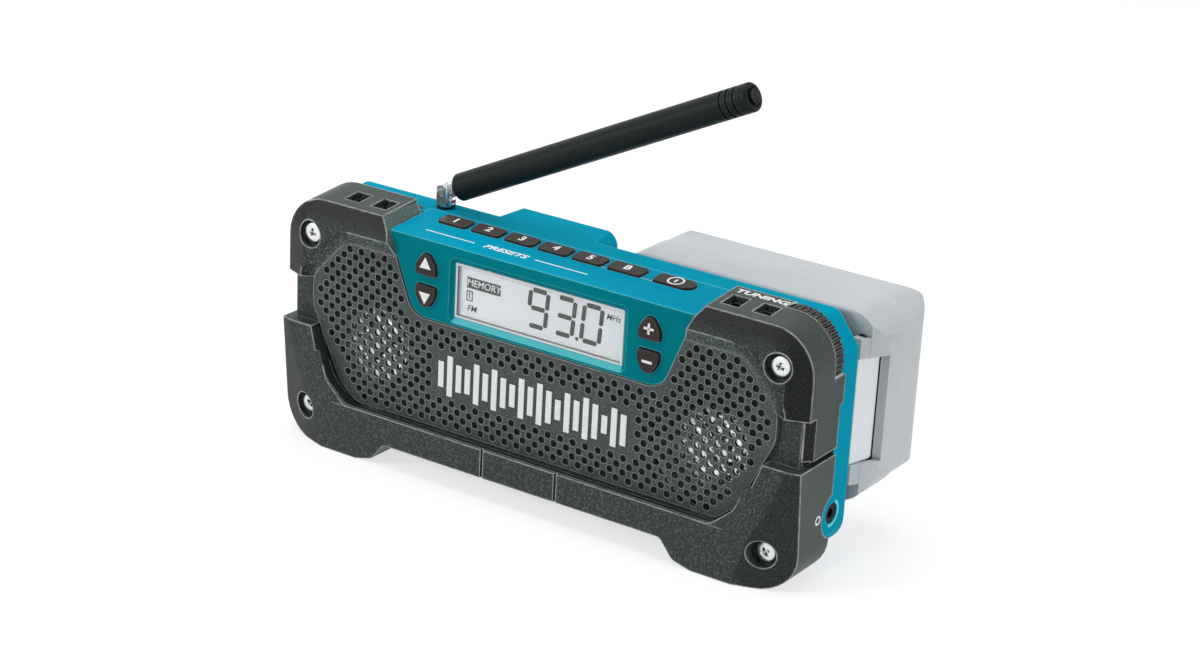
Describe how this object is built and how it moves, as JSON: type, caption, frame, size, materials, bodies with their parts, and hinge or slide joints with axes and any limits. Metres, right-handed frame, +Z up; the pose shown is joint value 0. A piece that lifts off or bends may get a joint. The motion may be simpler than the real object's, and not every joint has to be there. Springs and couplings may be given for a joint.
{
  "type": "jobsite radio",
  "caption": "Low jobsite radio with corner bumpers, a perforated front, a button deck, a swivelling antenna and a slide-on battery pack at the back.",
  "frame": {"origin": "middle of the footprint of the radio with its pack, on the surface that it stands on", "axes": "+X to the right as seen from the front, +Y to the rear, +Z up; the speaker grille faces -Y"},
  "size_m": [0.2426, 0.0874, 0.1741],
  "materials": {
    "shell": "satin teal",
    "panel": "satin teal",
    "black_plastic": "matt",
    "grille": "powder coat",
    "bumper": "grained",
    "rubber": "matt",
    "lcd_glass": "polished",
    "lcd": "reflective",
    "board": "solder mask",
    "metal": "plain",
    "screw_steel": "bright zinc",
    "wheel": "matt",
    "chrome": "polished",
    "brass": "plain",
    "pack": "satin",
    "pack_button": "satin",
    "cell": "sleeved",
    "key": "matt",
    "cone": "paper"
  },
  "bodies": {
    "radio": {"rear_housing": "shell", "front_frame": "black_plastic", "control_panel": "panel", "speaker_grille": "grille", "upper_bumper_left": "bumper", "upper_bumper_right": "bumper", "lower_bumper": "bumper", "rear_feet": "rubber", "lcd_lens": "lcd_glass", "lcd_module": "lcd", "lcd_holder": "black_plastic", "front_board": "board", "key_board": "board", "front_switches": "black_plastic", "deck_switches": "black_plastic", "main_board": "board", "board_parts": "metal", "speaker_left_basket": "metal", "speaker_left_cone": "cone", "speaker_left_magnet": "metal", "speaker_right_basket": "metal", "speaker_right_cone": "cone", "speaker_right_magnet": "metal", "front_screws": "screw_steel", "rear_screws": "metal", "encoder_body": "metal", "antenna_base": "black_plastic", "audio_jack": "black_plastic", "terminal_block": "black_plastic", "terminal_blades": "brass"},
    "battery_pack": {"pack_base": "pack", "pack_cover": "pack", "pack_cells": "cell", "pack_board": "board", "pack_contacts": "brass", "pack_screws": "metal", "cell_holder": "black_plastic", "release_spring": "metal"},
    "release_button": {"release_button": "pack_button"},
    "tuning_wheel": {"tuning_wheel": "wheel", "encoder_shaft": "metal"},
    "antenna_swivel": {"antenna_swivel": "chrome", "antenna_pin": "metal"},
    "antenna": {"antenna_rod": "chrome", "antenna_sleeve": "rubber", "antenna_cap": "chrome"},
    "key_up": {"key_up": "key"},
    "key_down": {"key_down": "key"},
    "key_plus": {"key_plus": "key"},
    "key_minus": {"key_minus": "key"},
    "key_band": {"key_band": "key"},
    "key_power": {"key_power": "key"},
    "key_preset_1": {"key_preset_1": "key"},
    "key_preset_2": {"key_preset_2": "key"},
    "key_preset_3": {"key_preset_3": "key"},
    "key_preset_4": {"key_preset_4": "key"},
    "key_preset_5": {"key_preset_5": "key"}
  },
  "joints": [
    {"name": "key_up_press", "type": "slide", "parent": "radio", "child": "key_up", "axis": [0, 1, 0], "range_m": [0, 0.0008], "stiffness_N_per_m": 500, "springref_m": -0.0004},
    {"name": "key_down_press", "type": "slide", "parent": "radio", "child": "key_down", "axis": [0, 1, 0], "range_m": [0, 0.0008], "stiffness_N_per_m": 500, "springref_m": -0.0004},
    {"name": "key_plus_press", "type": "slide", "parent": "radio", "child": "key_plus", "axis": [0, 1, 0], "range_m": [0, 0.0008], "stiffness_N_per_m": 500, "springref_m": -0.0004},
    {"name": "key_minus_press", "type": "slide", "parent": "radio", "child": "key_minus", "axis": [0, 1, 0], "range_m": [0, 0.0008], "stiffness_N_per_m": 500, "springref_m": -0.0004},
    {"name": "key_band_press", "type": "slide", "parent": "radio", "child": "key_band", "axis": [0, 0.0872, -0.9962], "range_m": [0, 0.0008], "stiffness_N_per_m": 500, "springref_m": -0.0004},
    {"name": "key_power_press", "type": "slide", "parent": "radio", "child": "key_power", "axis": [0, 0.0872, -0.9962], "range_m": [0, 0.0008], "stiffness_N_per_m": 500, "springref_m": -0.0004},
    {"name": "key_preset_1_press", "type": "slide", "parent": "radio", "child": "key_preset_1", "axis": [0, 0.0872, -0.9962], "range_m": [0, 0.0008], "stiffness_N_per_m": 500, "springref_m": -0.0004},
    {"name": "key_preset_2_press", "type": "slide", "parent": "radio", "child": "key_preset_2", "axis": [0, 0.0872, -0.9962], "range_m": [0, 0.0008], "stiffness_N_per_m": 500, "springref_m": -0.0004},
    {"name": "key_preset_3_press", "type": "slide", "parent": "radio", "child": "key_preset_3", "axis": [0, 0.0872, -0.9962], "range_m": [0, 0.0008], "stiffness_N_per_m": 500, "springref_m": -0.0004},
    {"name": "key_preset_4_press", "type": "slide", "parent": "radio", "child": "key_preset_4", "axis": [0, 0.0872, -0.9962], "range_m": [0, 0.0008], "stiffness_N_per_m": 500, "springref_m": -0.0004},
    {"name": "key_preset_5_press", "type": "slide", "parent": "radio", "child": "key_preset_5", "axis": [0, 0.0872, -0.9962], "range_m": [0, 0.0008], "stiffness_N_per_m": 500, "springref_m": -0.0004},
    {"name": "tuning_turn", "type": "hinge", "parent": "radio", "child": "tuning_wheel", "pos_m": [0.09875, -0.01795, 0.08432], "axis": [0, 1, 0], "continuous": true},
    {"name": "antenna_turn", "type": "hinge", "parent": "radio", "child": "antenna_swivel", "pos_m": [-0.06775, -0.00665, 0.10401], "axis": [0, 0, 1], "range_deg": [-90, 180]},
    {"name": "antenna_tilt", "type": "hinge", "parent": "antenna_swivel", "child": "antenna", "pos_m": [-0.06775, -0.00665, 0.10401], "axis": [0, -1, 0], "range_deg": [-25.5, 63.9]},
    {"name": "pack_slide", "type": "slide", "parent": "radio", "child": "battery_pack", "axis": [1, 0, 0], "range_m": [0, 0.07]},
    {"name": "release_press", "type": "slide", "parent": "battery_pack", "child": "release_button", "axis": [0, 1, 0], "range_m": [0, 0.003], "stiffness_N_per_m": 700, "springref_m": -0.0015, "deforming": ["release_spring"]}
  ]
}
